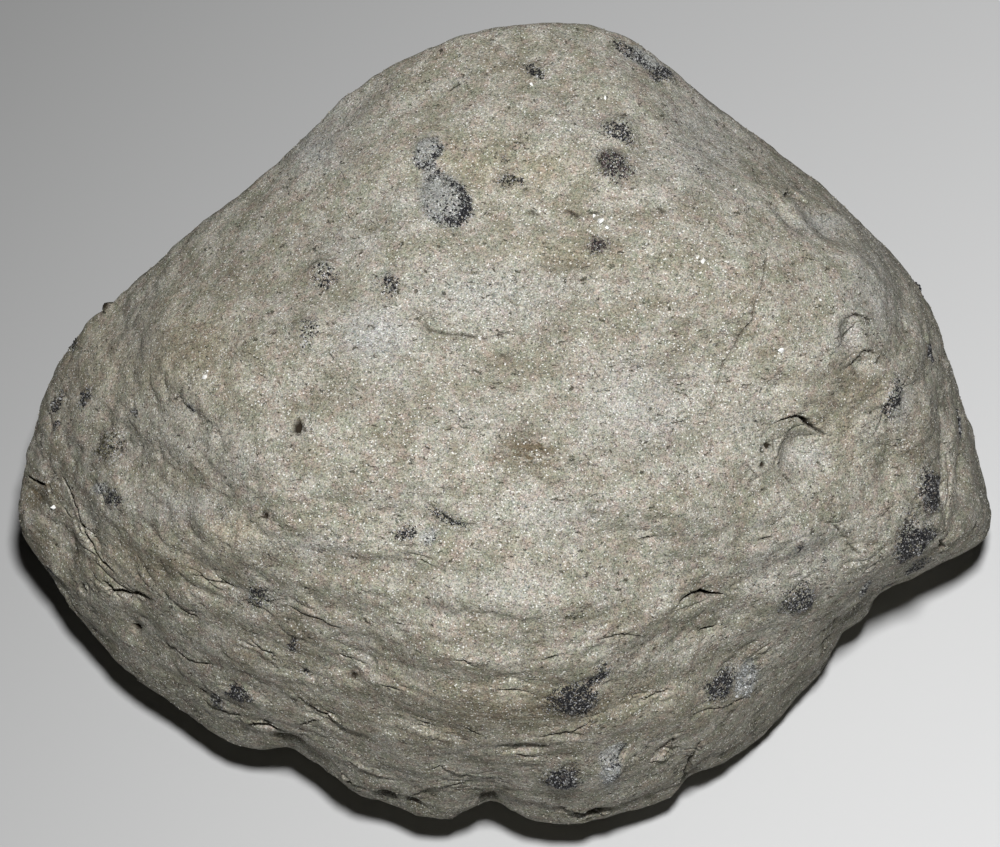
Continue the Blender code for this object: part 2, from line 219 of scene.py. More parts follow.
class Finish:
    # a material with one Principled shader
    def __init__(self, name, **plain):
        self.material = bpy.data.materials.new(name)
        self.material.use_nodes = True
        self.tree = self.material.node_tree
        self.shader = self.tree.nodes["Principled BSDF"]
        for socket, value in plain.items():
            self.shader.inputs[socket.replace("_", " ")].default_value = value

    def node(self, kind, settings, inputs, output=0):
        made = self.tree.nodes.new("ShaderNode" + kind)
        for name, value in settings.items():
            setattr(made, name, value)
        for name, value in inputs.items():
            self.put(made.inputs[name], value)
        return Wire(self.tree, made.outputs[output])

    def put(self, socket, value):
        if isinstance(value, Wire):
            self.tree.links.new(value.socket, socket)
        else:
            socket.default_value = value

    def feed(self, name, value):
        self.put(self.shader.inputs[name], value)

    def millimetres(self):
        place = self.node("TexCoord", {}, {}, "Object")
        return self.node("VectorMath", {"operation": "SCALE"}, {0: place, "Scale": 1000.0})

    def layered(self, place, along, across):
        # stretched so that a pattern runs with the stone's layers
        turn = layerNormal.rotation_difference(Vector((0, 0, 1))).to_euler()
        size = (1 / along, 1 / along, 1 / across)
        turned = self.node("Mapping", {"vector_type": "POINT"}, {"Vector": place, "Rotation": turn})
        return self.node("VectorMath", {"operation": "MULTIPLY"}, {0: turned, 1: size})

    def noise(self, place, size, detail=2.0, roughness=0.5):
        return self.node("TexNoise", {}, {"Vector": place, "Scale": 1 / size, "Detail": detail,
                                          "Roughness": roughness})

    def attribute(self, name):
        return self.node("Attribute", {"attribute_name": name}, {}, "Fac")

    def mix(self, factor, first, second, blend="MIX"):
        made = self.tree.nodes.new("ShaderNodeMix")
        made.data_type = "RGBA"
        made.blend_type = blend
        self.put(made.inputs[0], factor)
        self.put(made.inputs[6], first)
        self.put(made.inputs[7], second)
        return Wire(self.tree, made.outputs[2])

    def ramp(self, value, low, high):
        return self.node("MapRange", {"interpolation_type": "SMOOTHSTEP"},
                         {"Value": value, "From Min": low, "From Max": high})


froth = {
    "weld": 0.002,            # the solid's loose triangles are joined within this
    "pointSpacing": 0.52,     # between the points of the mesh
    "fineReach": (1.1, 0.55),    # how far from a crack the mesh is split once, and twice
    "mostFaces": 197000,
    "underside": -0.2,        # how far down a normal points on the underside
    "undersideThinning": 1.7,    # faces taken away there for each of its points
    "smoothing": 16,          # passes that take the solid's facets away
    "lumps": [(6.0, 0.15), (2.4, 0.13), (1.2, 0.10)],    # size and height of the froth's lumps
    "layerBend": (9.0, 1.2),  # how long and how high the waves in the layers are
    "ledgePitch": 1.2,
    "ledgeLength": 3.6,
    "ledgeOnTop": 0.04,
    "ledgeOnFlank": 0.16,
    "cragOnTop": 0.04,        # furrows between the froth's knobs
    "cragOnFlank": 0.30,
    "cragWidth": 0.16,
    "rimLumps": (1.5, 0.45),  # the rim near the floor is more broken
    "rimHeight": 22.0,
    "wornGroove": [(940, 384), (945, 437), (946, 496), (938, 553)],    # rubbed nearly smooth
    "wornReach": 2.4,
    "wornPasses": 80,
    "wander": (1.1, 0.35),    # a crack's line strays: over how long, and how far
    "smallHollow": 0.9,       # a narrower one is a hole with painted shade on its floor
    "deepHollow": 1.3,        # and so is a deeper one
    "restsBelow": 1.5,        # the relief fades out from here down to the floor
}

# path of each crack, with its width in pixels, its depth and how high its upper lip stands
cracks = [
    ([(784, 195), (792, 192), (800, 196), (807, 201)], 6, 2.0, 0.4),
    ([(783, 205), (773, 228), (766, 260), (762, 285), (755, 305), (753, 320), (740, 335), (735, 345),
      (722, 365), (718, 385), (710, 410)], 1.8, 0.6, 0.05),
    ([(773, 424), (780, 420), (792, 416), (800, 417), (806, 420), (812, 427), (820, 431), (827, 435)],
     4, 1.0, 0.5),
    ([(775, 430), (774, 446), (777, 465)], 2, 0.4, 0.1),
    ([(775, 465), (788, 478), (800, 490)], 2, 0.4, 0.1),
    ([(848, 317), (855, 314), (868, 318), (872, 324)], 2.5, 0.6, 0.3),
    ([(857, 322), (850, 330), (846, 340), (828, 352)], 3, 0.6, 0.2),
    ([(852, 364), (862, 351), (868, 350), (876, 354)], 2.5, 0.5, 0.3),
    ([(907, 380), (890, 400), (882, 420), (875, 433)], 4, 1.2, 0.3),
    ([(947, 455), (950, 480), (948, 510), (943, 540), (936, 566)], 5, 1.6, 0.1),
    ([(560, 806), (575, 813), (592, 816), (610, 814)], 5, 1.5, 0.2),
    ([(822, 514), (838, 528), (850, 545), (858, 553), (866, 553)], 2, 0.5, 0.1),
    ([(858, 560), (866, 580)], 2, 0.4, 0.1),
    ([(883, 517), (895, 505)], 2, 0.4, 0.1),
    ([(680, 606), (688, 596), (697, 590), (708, 594), (723, 595)], 5, 1.8, 0.4),
    ([(760, 657), (768, 648)], 2.5, 0.8, 0.2),
    ([(790, 662), (800, 655)], 2.5, 0.8, 0.2),
    ([(820, 655), (828, 645)], 2.5, 0.8, 0.2),
    ([(745, 697), (725, 705), (708, 710)], 3, 1.0, 0.3),
    ([(700, 742), (690, 760), (684, 778)], 5, 2.2, 0.3),
    ([(650, 762), (665, 760), (672, 750), (677, 738)], 3, 0.9, 0.4),
    ([(433, 769), (440, 766), (460, 774), (480, 775), (500, 778)], 3, 1.2, 0.4),
    ([(415, 795), (430, 787), (470, 780)], 3, 1.2, 0.4),
    ([(545, 803), (570, 809), (600, 811)], 4, 2.0, 0.4),
    ([(470, 788), (495, 789)], 3, 1.2, 0.3),
    ([(107, 592), (120, 592), (140, 595), (150, 598)], 5, 2.0, 0.4),
    ([(193, 575), (210, 580), (232, 587)], 2, 0.7, 0.2),
    ([(165, 645), (175, 650), (185, 657), (207, 664)], 3, 1.0, 0.3),
    ([(288, 606), (300, 612), (322, 619), (338, 628)], 2, 0.7, 0.2),
    ([(300, 698), (318, 708), (330, 717), (345, 727), (358, 732)], 5, 2.2, 0.5),
    ([(240, 722), (262, 724), (278, 728), (290, 730), (296, 733)], 6, 2.5, 0.6),
    ([(300, 724), (315, 720)], 3, 1.0, 0.3),
    ([(383, 685), (400, 690)], 3, 1.0, 0.2),
    ([(420, 721), (430, 724)], 3, 1.0, 0.2),
    ([(465, 727), (480, 735)], 3, 1.0, 0.2),
    ([(540, 737), (555, 733), (575, 730), (590, 722)], 3, 1.0, 0.3),
    ([(105, 650), (120, 670), (138, 688)], 1.8, 0.5, 0.1),
    ([(62, 478), (71, 496), (77, 514), (84, 532), (93, 548), (101, 562), (113, 571)], 6, 2.0, 0.2),
    ([(103, 583), (112, 589)], 6, 1.6, 0.2),
    ([(28, 476), (35, 482), (43, 485)], 4, 1.5, 0.3),
    ([(60, 508), (67, 518)], 3, 0.8, 0.2),
    ([(400, 307), (412, 308), (422, 313), (429, 329), (446, 333), (467, 335), (485, 339), (503, 333),
      (524, 335)], 2.0, 0.45, 0.15),
    ([(529, 211), (539, 215)], 3, 0.5, 0.1), ([(561, 209), (570, 212), (582, 218)], 3, 0.5, 0.1),
    ([(655, 207), (668, 212)], 3, 0.5, 0.1), ([(495, 352), (512, 358)], 2, 0.4, 0.1),
    ([(250, 640), (262, 650), (276, 655)], 3, 0.8, 0.2), ([(180, 610), (196, 618)], 3, 0.8, 0.2),
    ([(340, 655), (352, 662)], 3, 0.8, 0.2), ([(418, 560), (434, 566)], 2, 0.5, 0.1),
    ([(205, 700), (222, 712), (240, 716)], 4, 1.2, 0.3), ([(350, 760), (372, 772), (392, 780)], 3, 1.0, 0.3),
    ([(330, 772), (352, 782), (380, 792)], 4, 1.4, 0.4),
    ([(600, 640), (622, 634), (640, 636)], 2.5, 0.6, 0.2), ([(455, 660), (470, 664)], 3, 0.7, 0.1),
    ([(500, 690), (520, 690)], 3, 0.8, 0.2),
    ([(640, 700), (655, 694), (668, 690)], 3, 0.8, 0.2), ([(545, 660), (560, 655)], 2.5, 0.6, 0.1),
    ([(760, 540), (775, 536)], 2.5, 0.6, 0.1), ([(640, 540), (655, 536)], 2.5, 0.5, 0.1),
    ([(700, 630), (716, 626)], 3, 0.8, 0.2), ([(515, 755), (530, 757)], 3, 1.0, 0.3),
    ([(735, 450), (750, 468), (765, 485)], 1.5, 0.25, 0.05),
]

# round hollows: pixel, half width and height in pixels, depth; a negative depth makes a knob
hollows = [
    (800, 450, 26, 22, 0.9), (822, 224, 30, 12, 0.8), (850, 340, 14, 12, 0.5), (530, 452, 26, 15, 0.5),
    (678, 750, 14, 16, 0.7), (352, 676, 4, 4, 0.7), (298, 428, 4, 4, 0.7), (265, 515, 4, 3, 0.6),
    (137, 628, 5, 4, 0.8), (82, 588, 4, 4, 0.8), (769, 446, 3, 3, 0.5), (763, 465, 3, 3, 0.4),
    (412, 538, 17, 14, 0.4), (565, 265, 18, 7, 0.3), (965, 475, 12, 55, 1.3), (890, 470, 12, 40, 0.7),
    (62, 540, 20, 34, 1.1), (35, 500, 14, 18, 0.5), (592, 813, 16, 4, 2.0), (386, 797, 10, 4, 1.6),
    (412, 803, 9, 4, 1.4), (288, 738, 14, 4, 1.8), (690, 775, 9, 7, 1.4), (488, 797, 7, 6, 2.2),
    (356, 82, 5, 4, -0.6), (108, 308, 5, 4, -0.6), (944, 366, 5, 6, -0.7),
]


def makeFrothBody():
    body = bpy.data.objects.new("froth_body", stoneNode.data.copy())
    bpy.context.scene.collection.objects.link(body)
    body.data.materials.clear()
    editing(body)
    bpy.ops.mesh.select_all(action="SELECT")
    bpy.ops.mesh.remove_doubles(threshold=froth["weld"] / 1000)
    done()
    applied(body, "REMESH", mode="VOXEL", voxel_size=froth["pointSpacing"] / 1000)
    # bits that the remesh leaves loose inside are deleted
    heights = np.array([face.center.z for face in body.data.polygons])
    selectFaces(body, heights == heights.max())
    bpy.ops.mesh.select_linked()
    bpy.ops.mesh.select_all(action="INVERT")
    bpy.ops.mesh.delete(type="VERT")
    done()
    applied(body, "SMOOTH", factor=0.5, iterations=froth["smoothing"])
    worn = body.vertex_groups.new(name="worn")
    rough = surfaceOf(body)
    groove = [seenAt(rough, right, down)[0] for right, down in froth["wornGroove"]]
    away = nearestOnPath(pointsOf(body), groove)[0]
    worn.add(np.flatnonzero(away < froth["wornReach"]).tolist(), 1.0, "REPLACE")
    applied(body, "SMOOTH", factor=0.5, iterations=froth["wornPasses"], vertex_group="worn")
    applied(body, "TRIANGULATE")
    return body


def nearestOnPath(points, path):
    # distance to the path, how far along it that is as a share, and the path's place there
    best = np.full(len(points), 1e9)
    along = np.zeros(len(points))
    foot = np.zeros((len(points), 3))
    total = sum((b - a).length for a, b in zip(path, path[1:]))
    gone = 0.0
    for start, end in zip(path, path[1:]):
        way = np.array(end - start)
        length = float(np.linalg.norm(way))
        share = np.clip(((points - np.array(start)) @ way) / length**2, 0, 1)
        spot = np.array(start) + share[:, None] * way
        away = np.linalg.norm(points - spot, axis=1)
        closer = away < best
        best[closer] = away[closer]
        along[closer] = (gone + share[closer] * length) / total
        foot[closer] = spot[closer]
        gone += length
    return best, along, foot


def fineMesh(body, paths, spots):
    # the mesh is split where a crack, hollow or crystal needs small faces
    for step in range(2):
        mesh = body.data
        centres = np.empty(len(mesh.polygons) * 3)
        mesh.polygons.foreach_get("center", centres)
        centres = centres.reshape(-1, 3) * 1000
        chosen = np.zeros(len(centres), bool)
        for path, width in paths:
            reach = width + froth["fineReach"][step]
            middle = np.array(sum(path, Vector()) / len(path))
            size = max((Vector(middle) - p).length for p in path) + reach
            close = np.linalg.norm(centres - middle, axis=1) < size
            chosen[close] |= nearestOnPath(centres[close], path)[0] < reach
        if step == 0:
            for place, size in spots:
                chosen |= np.linalg.norm(centres - np.array(place), axis=1) < size
        selectFaces(body, chosen)
        bpy.ops.mesh.subdivide(number_cuts=1, ngon=False)
        bpy.ops.mesh.select_all(action="SELECT")
        bpy.ops.mesh.quads_convert_to_tris()
        done()


def thinned(obj, chosen, mostFaces):
    # fewer faces where the surface is even, down to this many in all
    group = obj.vertex_groups.new(name="thinned")
    group.add(np.flatnonzero(chosen).tolist(), 1.0, "REPLACE")
    applied(obj, "DECIMATE", ratio=mostFaces / len(obj.data.polygons), vertex_group=group.name)
    obj.vertex_groups.remove(obj.vertex_groups["thinned"])


def reliefOf(points, normals):
    # ledges and furrows along the layers, the froth's lumps, and a more broken rim
    layer = np.array(layerNormal)
    level = points @ layer
    flat = points - level[:, None] * layer
    bendSize, bendRise = froth["layerBend"]
    bent = noiseAt(points, bendSize, 3.0) * bendRise
    stretched = flat / froth["ledgeLength"] + ((level + bent) / froth["ledgePitch"])[:, None] * layer
    across = np.clip(1.2 - 1.3 * np.abs(normals @ layer), 0, 1)
    height = noiseAt(stretched, 1.0) * (froth["ledgeOnTop"] + froth["ledgeOnFlank"] * across)
    furrow = np.clip(1 - np.abs(noiseAt(stretched * 0.8, 1.0, 9.0)) / froth["cragWidth"], 0, 1)
    broken = np.clip(noiseAt(points, 3.5, 14.0) * 3 + 0.5, 0, 1)
    height -= furrow * broken * (froth["cragOnTop"] + froth["cragOnFlank"] * across)
    for size, rise in froth["lumps"]:
        height += rise * noiseAt(points, size, size)
    size, rise = froth["rimLumps"]
    low = np.clip(1.2 - points[:, 2] / froth["rimHeight"], 0, 1)
    return height + rise * noiseAt(stretched / size, 1.0, 31.0) * across * low


def cutCracks(points, crackPaths, moves, creviceShade):
    # each crack strays from its path, narrows towards its ends and has an upper lip that stands out
    strayOver, strayBy = froth["wander"]
    for path, width, depth, lip in crackPaths:
        middle = np.array(sum(path, Vector()) / len(path))
        size = max((Vector(middle) - p).length for p in path) + 3.5
        close = np.flatnonzero(np.linalg.norm(points - middle, axis=1) < size)
        spots = points[close]
        stray = noiseAt(spots, strayOver, depth * 7)
        stray = stray + noiseAt(spots, strayOver / 3, depth * 5) * 0.5
        away, along, foot = nearestOnPath(spots, path)
        upward = (spots - foot) @ np.array(eyeUp)
        away = away + stray * strayBy * np.minimum(1, width)
        fade = np.sin(np.pi * np.clip(along, 0.04, 0.96)) ** 0.5
        half = width / 2 * (0.35 + 0.65 * fade)
        cut = np.clip(1.25 - np.abs(away) / half, 0, 1) ** 0.7 * fade
        moves[close] -= cut * depth
        raised = np.where(upward > 0, np.exp(-np.abs(away) / 0.9), -0.6 * np.exp(-np.abs(away) / 0.9))
        moves[close] += lip * raised * fade * (away < 3)
        # painted shade inside the crack, darker where it is deeper
        creviceShade[close] = np.maximum(creviceShade[close], cut * min(1, 0.35 + depth / 1.6))


def pressHollows(points, hollowSpots, moves, creviceShade):
    for place, across, up, wide, high, depth in hollowSpots:
        off = points - np.array(place)
        far = ((off @ np.array(across)) / wide) ** 2 + ((off @ np.array(up)) / high) ** 2
        near = np.linalg.norm(off, axis=1) < 3 * max(wide, high)
        small = max(wide, high) < froth["smallHollow"]
        if small:
            bowl = np.clip(1.2 - far, 0, 1) ** 0.8 * near
        else:
            bowl = np.exp(-far * 1.3) * near
        # a small or deep hollow gets painted shade on its floor
        if small or depth > froth["deepHollow"]:
            np.maximum(creviceShade, bowl, out=creviceShade)
        moves -= bowl * depth


def crystalMasks(points, crystalSpots):
    # where glass shows dark, and where ash covers it
    dark = np.zeros(len(points))
    ash = np.zeros(len(points))
    for place, across, up, wide, high, kind, strength in crystalSpots:
        off = points - np.array(place)
        right, above = (off @ np.array(across)) / wide, (off @ np.array(up)) / high
        far = np.hypot(right, above) / raggedEdge(np.arctan2(above, right), place, max(wide, high))
        near = np.linalg.norm(off, axis=1) < 3 * max(wide, high)
        if kind in ("blue", "pale"):
            # froth ash inside, bare glass in a rim that is widest at the lower right
            side = np.clip(0.55 + 0.45 * (right - above) / (far + 0.2), 0.1, 1.1)
            cloud = np.clip(1.1 - np.abs(far - 0.95) / 0.32, 0, 0.85) * side
            ash = np.maximum(ash, np.clip((1.25 - far) * 3, 0, 1) * near)
        else:
            cloud = np.clip(1.55 - far, 0, 1)
        dark = np.maximum(dark, cloud * strength * near)
    return dark, ash


def shapeFroth(body, crackPaths, hollowSpots, crystalSpots):
    points = pointsOf(body)
    normals = normalsOf(body)
    creviceShade = np.zeros(len(points))
    moves = reliefOf(points, normals) * np.clip(points[:, 2] / froth["restsBelow"], 0, 1)
    cutCracks(points, crackPaths, moves, creviceShade)
    pressHollows(points, hollowSpots, moves, creviceShade)
    dark, ash = crystalMasks(points, crystalSpots)
    points = points + normals * moves[:, None]
    points[:, 2] = np.maximum(points[:, 2], 0)    # the floor stays clear
    setPoints(body, points)
    return creviceShade, dark, ash


print("froth body")
body = makeFrothBody()
print("points:", len(body.data.vertices))
surface = surfaceOf(body)


# kinds of crystal: its glass, the ash on it, and the share of bare glass at its middle and its rim
crystalKinds = {
    "black": ((0.010, 0.010, 0.012), (0.16, 0.16, 0.16), 0.86, 0.70),
    "blue": ((0.016, 0.016, 0.019), (0.29, 0.295, 0.28), 0.33, 0.72),
    "purple": ((0.042, 0.028, 0.028), (0.16, 0.13, 0.125), 0.60, 0.75),
    "olive": ((0.035, 0.031, 0.016), (0.15, 0.14, 0.095), 0.60, 0.60),
    "pale": ((0.07, 0.07, 0.07), (0.34, 0.35, 0.35), 0.12, 0.40),
}

# pixel, half width and half height in pixels, lean in degrees, kind, strength of its dark cloud
crystals = [
    (425, 151, 10, 14, 5, "blue", 0.9), (442, 195, 19, 25, -20, "blue", 0.95),
    (431, 170, 8, 9, -20, "blue", 0.9), (446, 219, 11, 5, 20, "black", 0.5),
    (464, 201, 3, 12, -8, "black", 0.6), (427, 166, 8, 4, 0, "black", 0.6),
    (620, 131, 17, 10, 38, "black", 0.75), (615, 163, 20, 12, 30, "purple", 0.85),
    (512, 181, 11, 6, 5, "olive", 0.9), (535, 72, 5, 12, -40, "black", 0.8),
    (630, 52, 20, 7, 25, "black", 0.7), (664, 70, 9, 12, 30, "black", 1.0),
    (647, 60, 14, 8, 30, "blue", 0.7), (597, 245, 8, 9, 20, "purple", 0.85),
    (325, 275, 12, 14, 0, "black", 0.45), (391, 283, 8, 12, -30, "black", 0.65),
    (308, 332, 9, 14, 15, "black", 0.5), (405, 533, 9, 7, 10, "black", 0.8),
    (428, 537, 6, 7, 0, "blue", 0.6), (447, 518, 17, 5, 20, "black", 0.7),
    (257, 598, 11, 12, 0, "black", 0.7), (237, 695, 12, 8, 0, "black", 1.0),
    (217, 701, 7, 8, 0, "black", 0.7), (293, 645, 5, 7, 0, "black", 0.7), (305, 672, 4, 4, 0, "black", 0.8),
    (577, 702, 20, 18, 0, "black", 1.0), (598, 678, 8, 12, 30, "black", 0.8),
    (562, 783, 17, 15, 0, "black", 1.0), (613, 755, 11, 11, 0, "blue", 0.7),
    (611, 776, 10, 14, 0, "pale", 0.35), (800, 603, 18, 16, 0, "black", 0.8),
    (722, 685, 14, 16, 20, "black", 0.9), (745, 680, 16, 12, -20, "pale", 0.2),
    (865, 588, 7, 8, 0, "blue", 0.7), (938, 492, 13, 19, 10, "black", 1.0),
    (908, 553, 12, 12, 0, "black", 0.95), (927, 540, 12, 13, 5, "black", 0.95),
    (917, 566, 14, 10, 0, "black", 0.45), (800, 550, 4, 5, 0, "black", 0.6),
    (825, 560, 3, 4, 0, "black", 0.6), (895, 400, 7, 19, 35, "black", 0.7),
    (962, 424, 5, 12, -15, "black", 1.0), (930, 352, 5, 9, 0, "black", 0.9),
    (112, 498, 8, 8, 0, "black", 0.8), (85, 398, 7, 8, 0, "black", 0.9), (57, 403, 8, 8, 0, "black", 0.75),
    (57, 425, 4, 5, 0, "black", 0.7), (107, 445, 17, 14, 0, "olive", 0.6),
    (135, 412, 4, 4, 0, "black", 0.7), (191, 408, 4, 4, 0, "black", 0.7), (100, 488, 7, 5, 0, "blue", 0.6),
    (700, 170, 4, 4, 0, "black", 0.5), (505, 160, 4, 4, 0, "olive", 0.6), (72, 345, 5, 6, 0, "black", 0.7),
]

# on the sides away from the eye: turn and rise in degrees, half width and height in millimetres, kind
farCrystals = [
    (180, 14, 2.1, 1.6, "black"), (150, 4, 1.5, 1.9, "blue"), (207, -2, 1.8, 1.4, "black"),
    (232, 8, 1.4, 1.7, "purple"), (172, -18, 1.6, 1.3, "black"), (128, -12, 1.9, 1.5, "blue"),
    (112, 6, 1.4, 1.6, "black"), (254, -6, 1.7, 1.4, "black"), (274, -20, 1.5, 1.8, "blue"),
    (88, -16, 1.6, 1.3, "black"), (20, -26, 1.4, 1.2, "black"), (330, -24, 1.7, 1.3, "purple"),
    (190, 4, 0.9, 0.8, "black"), (165, 9, 0.7, 0.9, "olive"), (218, 10, 0.8, 0.7, "black"),
    (140, 8, 0.8, 0.8, "black"), (262, 2, 0.9, 0.7, "blue"), (100, -4, 0.8, 1.0, "black"),
    (240, -12, 0.9, 0.9, "black"), (155, -20, 0.7, 0.7, "black"), (118, -24, 0.9, 0.8, "purple"),
    (198, -26, 0.8, 0.7, "black"), (282, -8, 0.7, 0.8, "black"), (74, -10, 0.8, 0.7, "black"),
]

# pixel, size in pixels
whiteChips = [
    (600, 222, 4.5), (206, 377, 3.5), (54, 507, 3), (532, 85, 2.5), (703, 262, 3), (782, 350, 4),
    (480, 338, 3), (605, 98, 2.5), (607, 228, 2), (594, 216, 2),
    (612, 218, 1.5), (540, 212, 1.5), (630, 228, 1.5),
    (697, 258, 1.5), (208, 371, 1.5), (735, 190, 1.5), (590, 232, 1.5), (560, 160, 1.5), (470, 350, 1.5),
    (555, 120, 1.5), (820, 300, 1.5), (300, 520, 1.5), (505, 365, 1.5), (650, 232, 1.5), (500, 545, 1.5),
]


def raggedEdge(turn, place, size):
    # how far a crystal's edge stands out in a direction, as a share of its size; the large ones are rounder
    phase = place.x * 3.1 + place.y * 1.7
    uneven = (0.20 * np.sin(2 * turn + phase) + 0.15 * np.sin(3 * turn + 2.3 * phase)
              + 0.10 * np.sin(5 * turn + 3.7 * phase))
    return 1 + uneven * min(1, 1.1 / size)


def sideAxes(normal, lean):
    # across and up the surface as the eye sees them, leaned clockwise by some degrees
    across = (Vector((1, 0, 0)) - normal * normal.x).normalized()
    up = normal.cross(across)
    turn = math.radians(-lean)
    return across * math.cos(turn) + up * math.sin(turn), up * math.cos(turn) - across * math.sin(turn)


def seenLength(way):
    # how long a unit vector looks in the picture
    return max(0.4, (way - towardsEye * way.dot(towardsEye)).length)


def crystalPlaces():
    found = []
    for right, down, wide, high, lean, kind, strength in crystals:
        place, normal = seenAt(surface, right, down)
        if place is None:
            print("no stone behind", right, down)
            continue
        across, up = sideAxes(normal, lean)
        wide *= sight["mmPerPixel"] / seenLength(across)
        high *= sight["mmPerPixel"] / seenLength(up)
        found.append((place, normal, across, up, wide, high, kind, strength))
    for turn, rise, wide, high, kind in farCrystals:
        place, normal = foundAt(surface, turn, rise)
        across, up = sideAxes(normal, turn)
        found.append((place, normal, across, up, wide, high, kind, 0.9))
    return found


print("marks")
places = crystalPlaces()
crackPaths = []
for path, width, depth, lip in cracks:
    onStone = [seenAt(surface, right, down)[0] for right, down in path]
    if None in onStone:
        print("a crack leaves the stone:", path[0])
    onStone = [p for p in onStone if p is not None]
    if len(onStone) > 1:
        crackPaths.append((onStone, width * sight["mmPerPixel"], depth, lip))
hollowSpots = []
for right, down, wide, high, depth in hollows:
    place, normal = seenAt(surface, right, down)
    if place is None:
        print("a hollow leaves the stone:", right, down)
        continue
    across, up = sideAxes(normal, 0)
    wide *= sight["mmPerPixel"] / seenLength(across)
    high *= sight["mmPerPixel"] / seenLength(up)
    hollowSpots.append((place, across, up, wide, high, depth))

fineMesh(body, [(path, width) for path, width, depth, lip in crackPaths],
         [(place, 1.3 * max(wide, high) + 0.4)
          for place, normal, across, up, wide, high, kind, strength in places])
print("points:", len(body.data.vertices), "faces:", len(body.data.polygons))
creviceShade, dark, ash = shapeFroth(body, crackPaths, hollowSpots,
                                [(place, across, up, wide, high, kind, strength)
                                 for place, normal, across, up, wide, high, kind, strength in places])

# stains on the side towards the eye: pixel, half width and height in pixels, strength
brownStains = [
    (530, 450, 32, 20, 1.0), (597, 246, 14, 10, 0.8), (562, 264, 30, 9, 0.8), (180, 350, 60, 24, 0.5),
    (670, 305, 36, 14, 0.5), (512, 181, 15, 8, 0.6), (715, 335, 40, 10, 0.4), (640, 330, 40, 8, 0.4),
    (300, 620, 60, 14, 0.4), (107, 445, 26, 20, 0.6), (860, 380, 24, 30, 0.45), (840, 400, 40, 12, 0.35),
    (250, 560, 60, 10, 0.3), (470, 640, 60, 12, 0.3), (620, 215, 60, 8, 0.4), (345, 395, 40, 12, 0.45),
    (905, 430, 16, 34, 0.7), (700, 590, 20, 10, 0.6), (560, 370, 40, 8, 0.35), (660, 214, 14, 8, 0.6),
    (40, 492, 24, 20, 0.9), (330, 280, 20, 30, 0.45), (500, 60, 60, 10, 0.4), (700, 230, 18, 40, 0.3),
    (640, 165, 20, 20, 0.4), (565, 330, 50, 7, 0.4), (430, 640, 40, 8, 0.4), (305, 405, 22, 10, 0.4),
    (835, 225, 30, 6, 0.4), (620, 280, 30, 6, 0.4), (720, 295, 80, 10, 0.5), (70, 380, 18, 40, 0.5),
    (250, 650, 26, 20, 0.6), (42, 535, 12, 30, 0.7), (520, 712, 120, 20, 0.7), (590, 712, 40, 18, 0.6),
    (440, 690, 60, 14, 0.4), (410, 440, 40, 30, 0.25), (560, 755, 60, 14, 0.4), (410, 395, 30, 10, 0.3),
    (655, 330, 20, 12, 0.4), (770, 350, 22, 8, 0.4), (300, 240, 26, 16, 0.3), (545, 120, 50, 8, 0.35),
    (352, 152, 12, 12, 0.7), (230, 270, 30, 20, 0.3), (180, 570, 60, 16, 0.4), (290, 640, 50, 26, 0.5),
    (55, 450, 16, 40, 0.5), (450, 735, 60, 20, 0.5), (440, 338, 26, 5, 0.45), (490, 362, 34, 6, 0.45),
    (560, 374, 40, 6, 0.45), (630, 368, 36, 6, 0.4), (690, 350, 34, 6, 0.4), (600, 246, 34, 6, 0.45),
    (650, 230, 34, 6, 0.4), (700, 214, 24, 5, 0.35), (800, 378, 36, 6, 0.4), (520, 205, 40, 5, 0.3),
    (340, 470, 44, 5, 0.35), (620, 450, 40, 5, 0.3), (350, 605, 50, 7, 0.4), (620, 620, 50, 7, 0.4),
]
paleStains = [
    (375, 335, 36, 28, 1.0), (315, 150, 28, 24, 0.8), (485, 295, 80, 34, 0.55), (635, 405, 60, 55, 0.5),
    (820, 224, 30, 12, 0.8), (745, 675, 20, 9, 0.7), (805, 455, 26, 20, 0.7), (670, 170, 60, 40, 0.3),
    (560, 515, 50, 25, 0.4), (180, 505, 50, 20, 0.4), (320, 545, 40, 12, 0.45), (850, 335, 20, 16, 0.6),
    (480, 420, 60, 20, 0.3), (345, 245, 30, 16, 0.4), (580, 130, 40, 20, 0.3), (870, 430, 14, 20, 0.5),
    (505, 590, 60, 20, 0.35), (610, 780, 10, 12, 0.6), (400, 205, 16, 30, 0.3), (190, 445, 70, 26, 0.55),
    (160, 400, 60, 60, 0.35), (868, 285, 22, 60, 0.5),
    (140, 342, 28, 42, 0.5), (900, 405, 12, 26, 0.8), (232, 462, 40, 22, 0.5), (245, 545, 60, 14, 0.4),
    (388, 380, 40, 20, 0.3), (700, 140, 40, 60, 0.5), (880, 300, 16, 50, 0.6), (640, 55, 24, 12, 0.5),
    (340, 120, 40, 40, 0.4), (800, 560, 60, 30, 0.4), (760, 430, 30, 40, 0.3),
]
warmStains = [
    (160, 360, 70, 50, 1.0), (190, 450, 60, 40, 0.6), (230, 540, 40, 20, 1.0), (850, 420, 60, 50, 0.4),
    (500, 170, 90, 30, 0.4), (560, 255, 60, 14, 0.5), (140, 560, 80, 30, 0.5), (550, 700, 180, 30, 0.4),
]


def stainOf(pixels, seen, stains):
    amount = np.zeros(len(pixels))
    for right, down, wide, high, strength in stains:
        far = ((pixels[:, 0] - right) / wide) ** 2 + ((pixels[:, 1] - down) / high) ** 2
        amount = np.maximum(amount, strength * np.exp(-far))
    return amount * seen


points = pointsOf(body)
normals = normalsOf(body)
pixels = pixelsOf(points)
seen = np.clip((normals @ np.array(towardsEye)) * 4, 0, 1)
farMottle = noiseAt(points, 7.0, 20.0)
brown = stainOf(pixels, seen, brownStains) + (1 - seen) * np.clip(farMottle * 1.6 - 0.25, 0, 0.7)
pale = stainOf(pixels, seen, paleStains) + (1 - seen) * np.clip(-farMottle * 1.6 - 0.25, 0, 0.7)
warm = stainOf(pixels, seen, warmStains)
